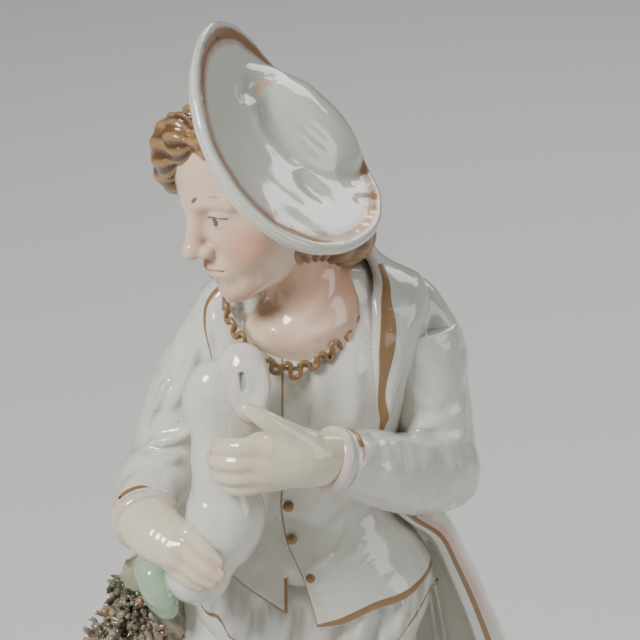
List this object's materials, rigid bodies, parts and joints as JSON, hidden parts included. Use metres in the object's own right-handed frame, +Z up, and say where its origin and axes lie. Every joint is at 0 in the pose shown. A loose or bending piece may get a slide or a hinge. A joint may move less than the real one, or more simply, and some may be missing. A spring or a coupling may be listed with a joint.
{
  "type": "porcelain figurine",
  "caption": "Glazed porcelain figurine of a youth in a long coat and wide hat who hugs a soft sack, beside a mossy stump on a rocky mound base.",
  "frame": {"origin": "middle of the flat, unglazed underside of the base", "axes": "+Z up; the figure's legs and chest face -Y; +X is the figure's own left"},
  "size_m": [0.082, 0.0663, 0.1947],
  "materials": {
    "white_glaze": "gloss, faint grey-green",
    "hat_glaze": "gloss, cool white with a worn gilt and pink edge",
    "flesh_glaze": "gloss, cream to peach enamel",
    "hair_glaze": "gloss, chestnut enamel",
    "gilding": "worn burnished gilding over brown size",
    "gilt_frill": "white glaze with a gilt edge",
    "pink_glaze": "gloss, white with a pink flush",
    "celadon_glaze": "gloss, pale green enamel",
    "rock_glaze": "uneven gloss, grey, ochre and brown enamels",
    "moss_glaze": "rough shreds, green, ochre and brown enamels",
    "shoe_glaze": "gloss, dark brown enamel"
  },
  "bodies": {
    "root": {"base": "rock_glaze", "rock_stump": "rock_glaze", "mossy_shreds": "moss_glaze", "green_stone": "celadon_glaze", "left_shoe": "shoe_glaze", "right_shoe": "shoe_glaze", "shoe_buckles": "gilding", "left_stocking": "white_glaze", "right_stocking": "white_glaze", "breeches": "white_glaze", "torso": "white_glaze", "waistcoat_left_flap": "white_glaze", "waistcoat_right_flap": "white_glaze", "waistcoat_buttons": "gilding", "coat_back": "white_glaze", "coat_left_front": "white_glaze", "coat_right_front": "white_glaze", "left_upper_sleeve": "white_glaze", "left_forearm_sleeve": "white_glaze", "left_cuff": "white_glaze", "left_hand": "flesh_glaze", "right_upper_sleeve": "white_glaze", "right_forearm_sleeve": "white_glaze", "right_cuff": "white_glaze", "right_hand": "flesh_glaze", "neck": "flesh_glaze", "neck_frill": "gilt_frill", "head": "flesh_glaze", "hair_back": "hair_glaze", "hair_front_curls": "hair_glaze", "hat_crown": "hat_glaze", "hat_brim": "hat_glaze", "sack": "white_glaze", "sack_mouth": "pink_glaze"}
  },
  "joints": []
}
